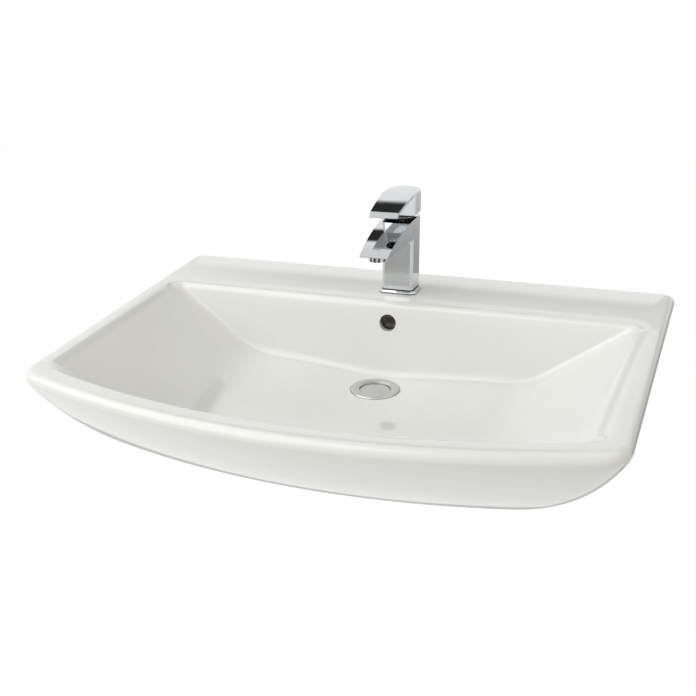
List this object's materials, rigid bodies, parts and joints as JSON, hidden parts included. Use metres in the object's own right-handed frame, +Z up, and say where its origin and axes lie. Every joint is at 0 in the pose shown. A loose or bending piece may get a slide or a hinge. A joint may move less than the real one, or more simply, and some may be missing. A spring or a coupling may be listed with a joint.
{
  "type": "washbasin",
  "caption": "Wall-hung washbasin with a bowed front, tap ledge, overflow hole, single-lever mixer tap and push-button waste with a chrome flange.",
  "frame": {"origin": "on the wall plane, midway between the two fixing holes, 75 mm below the rim", "axes": "+X to the right along the wall as seen from the room, +Y into the wall, +Z up; the bowed front faces -Y"},
  "size_m": [0.6978, 0.535, 0.3242],
  "materials": {
    "glazed_china": "glossy white glaze, slightly warm",
    "chrome_plate": "polished plating",
    "zinc_steel": "bright zinc plating",
    "plain_brass": "machined, unplated",
    "black_rubber": "matt black",
    "white_foam": "white foam rubber",
    "white_plastic": "white moulded plastic",
    "grey_plastic": "grey moulded plastic",
    "black_plastic": "black moulded plastic",
    "disc_ceramic": "lapped ivory ceramic",
    "mark_enamel": "small grey enamel marks"
  },
  "bodies": {
    "fixed": {"basin": "glazed_china", "tap_body": "chrome_plate", "foot_seal": "black_rubber", "tap_base_ring": "chrome_plate", "base_gasket": "black_rubber", "mounting_stud": "zinc_steel", "clamp_rubber": "black_rubber", "clamp_plate": "zinc_steel", "stud_nut": "plain_brass", "cartridge_seals": "black_rubber", "cartridge_base": "white_plastic", "fixed_disc": "disc_ceramic", "cartridge_housing": "white_plastic", "cartridge_nut": "zinc_steel", "neck_ring": "black_plastic", "aerator_housing": "chrome_plate", "aerator_insert": "grey_plastic", "aerator_seal": "black_rubber", "waste_body": "chrome_plate", "flange_gasket": "white_foam", "cone_washer": "black_rubber", "slip_washer": "white_plastic", "waste_nut": "chrome_plate", "click_cartridge": "white_plastic"},
    "swivel": {"cartridge_turret": "grey_plastic", "turret_pin": "zinc_steel"},
    "handle": {"lever": "chrome_plate", "valve_stem": "zinc_steel", "lever_screw": "zinc_steel", "screw_cap": "chrome_plate", "index_dots": "mark_enamel"},
    "disc": {"moving_disc": "disc_ceramic", "disc_carrier": "white_plastic"},
    "plug": {"plug_cap": "chrome_plate", "plug_seal": "black_rubber", "click_plunger": "zinc_steel"}
  },
  "joints": [
    {"name": "lever_swing", "type": "hinge", "parent": "fixed", "child": "swivel", "pos_m": [0, -0.077, 0.163], "axis": [0, 0, 1], "range_deg": [-50, 50]},
    {"name": "lever_lift", "type": "hinge", "parent": "swivel", "child": "handle", "pos_m": [0, -0.077, 0.163], "axis": [-1, 0, 0], "range_deg": [0, 15]},
    {"name": "disc_slide", "type": "slide", "parent": "swivel", "child": "disc", "axis": [0, -1, 0], "range_m": [0, 0.0034]},
    {"name": "plug_lift", "type": "slide", "parent": "fixed", "child": "plug", "axis": [0, 0, 1], "range_m": [0, 0.008]}
  ],
  "couplings": [
    {"joint": "disc_slide", "follows": "lever_lift", "m_per_rad": 0.0127}
  ]
}
